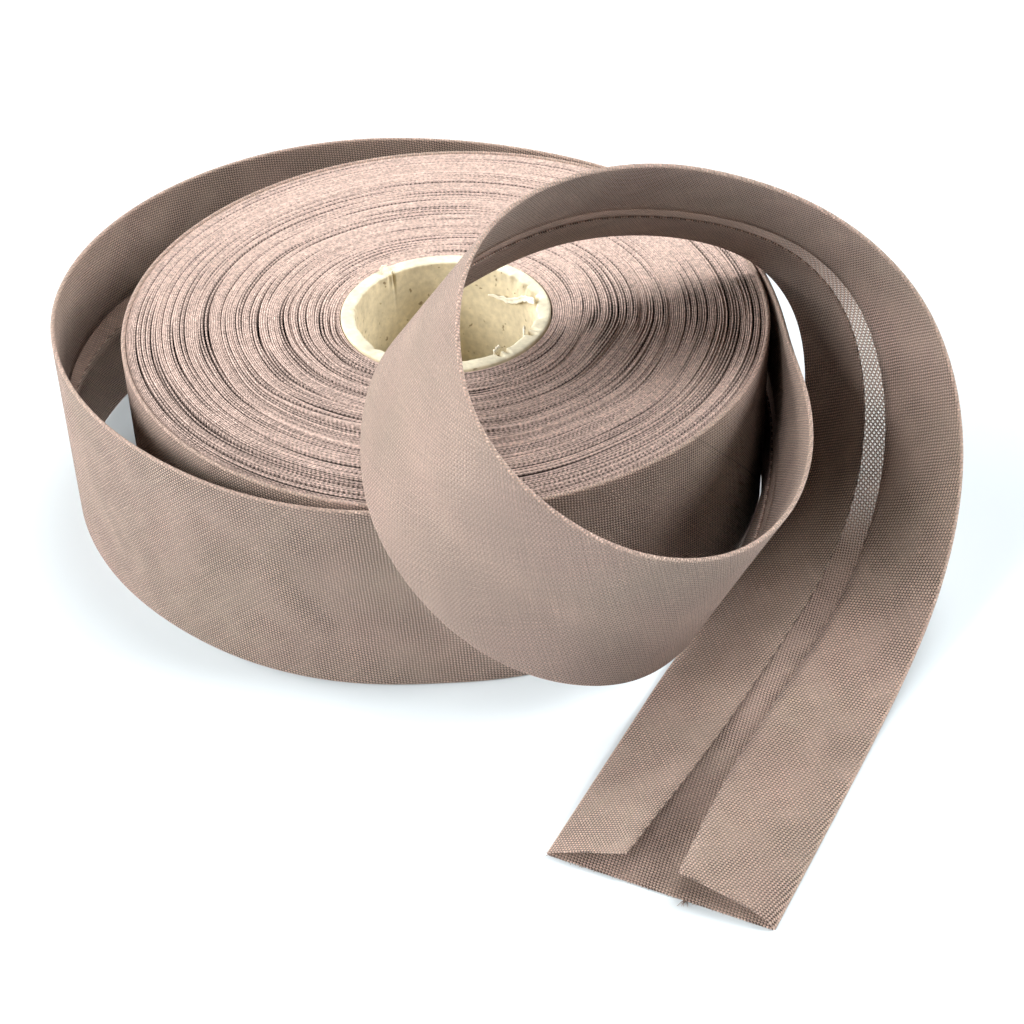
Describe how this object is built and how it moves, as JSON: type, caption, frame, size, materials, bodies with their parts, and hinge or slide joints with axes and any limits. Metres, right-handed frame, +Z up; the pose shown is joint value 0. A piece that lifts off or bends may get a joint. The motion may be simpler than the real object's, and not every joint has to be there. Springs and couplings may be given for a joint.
{
  "type": "roll of bias binding",
  "caption": "Part-used roll of folded cotton bias binding on a cardboard core, its outer turn lifted off and looped over to lie flat in front.",
  "frame": {"origin": "on the floor, under the middle of the outline seen from above", "axes": "+Z up along the roll's axis, -Y towards the cut end of the tape, +X to the right of it seen from the front"},
  "size_m": [0.1708, 0.1946, 0.0893],
  "materials": {
    "binding_cloth": "plain-woven cotton cut on the bias, matt dusty taupe",
    "winding_edges": "folded edges of the wound turns seen end on, matt and a little paler than the cloth's face",
    "cardboard": "pressed cardboard tube, matt cream rim and kraft-brown inside"
  },
  "bodies": {
    "root": {"cardboard_core": "cardboard", "wound_roll": "winding_edges", "loose_end": "binding_cloth"}
  },
  "joints": []
}
